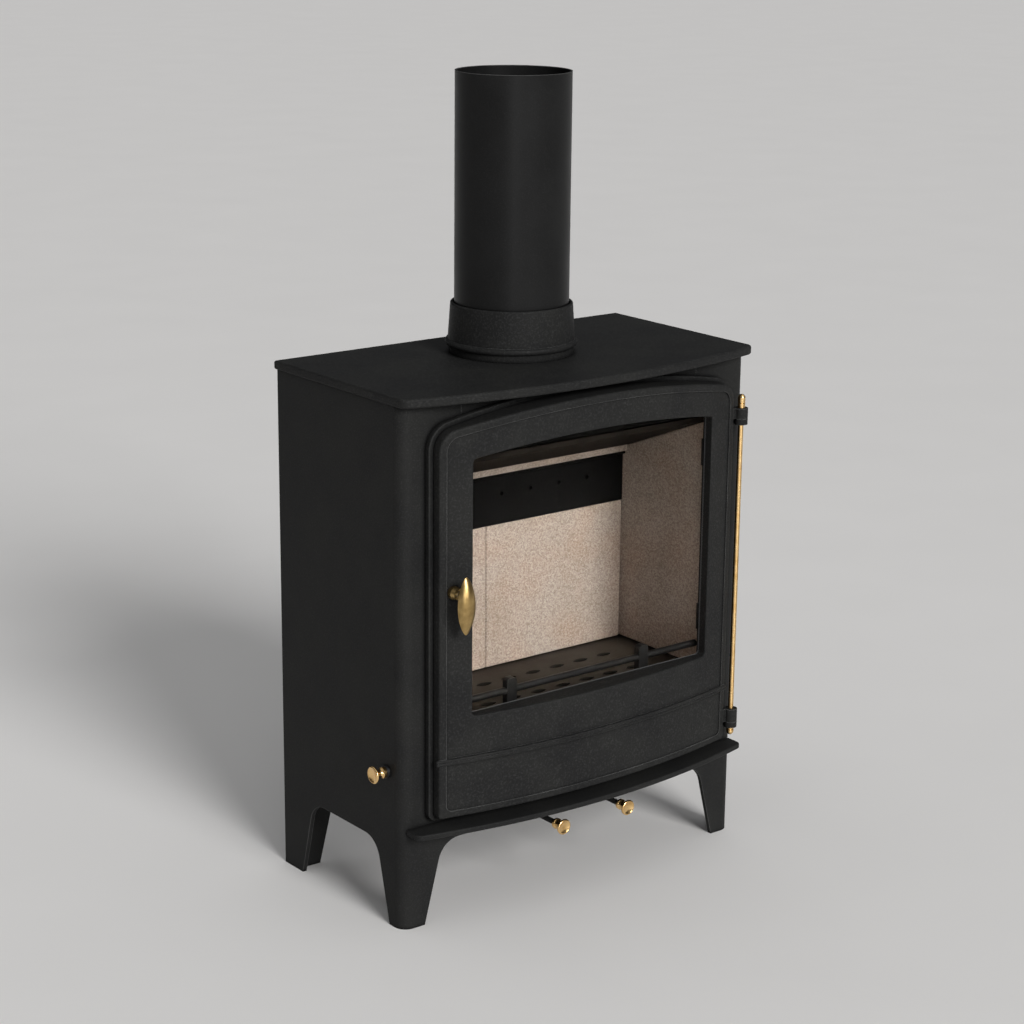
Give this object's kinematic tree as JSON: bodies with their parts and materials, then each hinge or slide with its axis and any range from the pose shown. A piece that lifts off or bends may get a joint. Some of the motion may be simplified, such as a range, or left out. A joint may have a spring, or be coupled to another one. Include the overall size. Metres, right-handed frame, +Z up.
{
  "type": "multi-fuel stove",
  "caption": "Free-standing black multi-fuel stove with a bowed hinged glass door, leaf handle, riddling grate, ash pan, air slides, bowed ash lip and a top flue pipe.",
  "frame": {"origin": "on the floor, midway between the side panels and between their front and rear edges", "axes": "+X to the stove's right as seen from the front, +Y to the back, +Z up"},
  "size_m": [0.4913, 0.2808, 0.88],
  "materials": {
    "painted_steel": "matt heat-resistant black paint on folded steel sheet",
    "painted_iron": "matt black paint over fine cast skin",
    "polished_brass": "polished and lacquered",
    "antique_brass": "satin antique brass",
    "ceramic_glass": "clear ceramic glass",
    "firebrick": "dry pressed firebrick",
    "bare_iron": "bare cast iron darkened by heat",
    "dark_steel": "mill-finish steel darkened by heat",
    "bright_steel": "zinc-plated steel",
    "rope": "knitted glass-fibre rope"
  },
  "bodies": {
    "stove_body": {"left_side_panel": "painted_steel", "right_side_panel": "painted_steel", "front_apron": "painted_steel", "front_header": "painted_steel", "back_panel": "painted_steel", "ash_lip": "painted_steel", "flue_pipe": "painted_steel", "upper_hinge_lug": "painted_steel", "lower_hinge_lug": "painted_steel", "top_plate": "painted_iron", "door_frame": "painted_iron", "flue_collar": "painted_iron", "rear_blanking_plate": "painted_iron", "hinge_rod": "polished_brass", "top_finial": "polished_brass", "bottom_finial": "polished_brass", "left_firebrick": "firebrick", "right_firebrick": "firebrick", "rear_firebrick_left": "firebrick", "rear_firebrick_right": "firebrick", "baffle_rest": "firebrick", "grate_bed": "bare_iron", "log_guard": "bare_iron", "baffle_plate": "bare_iron", "base_plate": "dark_steel", "back_liner": "dark_steel", "airwash_deflector": "dark_steel", "left_airwash_duct": "dark_steel", "right_airwash_duct": "dark_steel", "left_grate_rail": "dark_steel", "right_grate_rail": "dark_steel", "riddling_bush": "dark_steel", "air_box": "dark_steel", "valve_guides": "dark_steel", "latch_keeper": "bright_steel", "collar_screws": "bright_steel", "blanking_bolts": "bright_steel", "blanking_nuts": "bright_steel"},
    "door": {"door_casting": "painted_iron", "window_glass": "ceramic_glass", "glass_gasket": "rope", "door_rope_seal": "rope", "glass_clips": "bright_steel", "clip_screws": "bright_steel", "handle_rose": "antique_brass"},
    "handle": {"handle_leaf": "antique_brass", "handle_spindle": "bright_steel", "latch_finger": "bright_steel"},
    "primary_air": {"primary_air_slide": "dark_steel", "primary_air_rod": "painted_steel", "primary_air_knob": "polished_brass"},
    "airwash": {"airwash_slide": "dark_steel", "airwash_rod": "painted_steel", "airwash_knob": "polished_brass"},
    "riddler": {"riddling_grate": "bare_iron", "riddling_arm": "dark_steel", "riddling_rod": "bright_steel", "riddling_knob": "polished_brass"},
    "ash_pan": {"ash_pan": "dark_steel", "ash_pan_grip": "dark_steel"}
  },
  "joints": [
    {"name": "door_hinge", "type": "hinge", "parent": "stove_body", "child": "door", "pos_m": [0.212, -0.133, 0.3], "axis": [0, 0, 1], "range_deg": [0, 120]},
    {"name": "handle_turn", "type": "hinge", "parent": "door", "child": "handle", "pos_m": [-0.185, -0.14, 0.3725], "axis": [0, 1, 0], "range_deg": [0, 70]},
    {"name": "primary_air_pull", "type": "slide", "parent": "stove_body", "child": "primary_air", "axis": [0, -1, 0], "range_m": [0, 0.035]},
    {"name": "airwash_pull", "type": "slide", "parent": "stove_body", "child": "airwash", "axis": [0, -1, 0], "range_m": [0, 0.035]},
    {"name": "riddle_pull", "type": "slide", "parent": "stove_body", "child": "riddler", "axis": [-1, 0, 0], "range_m": [0, 0.025]},
    {"name": "ash_pan_slide", "type": "slide", "parent": "stove_body", "child": "ash_pan", "axis": [0, -1, 0], "range_m": [0, 0.02]}
  ]
}
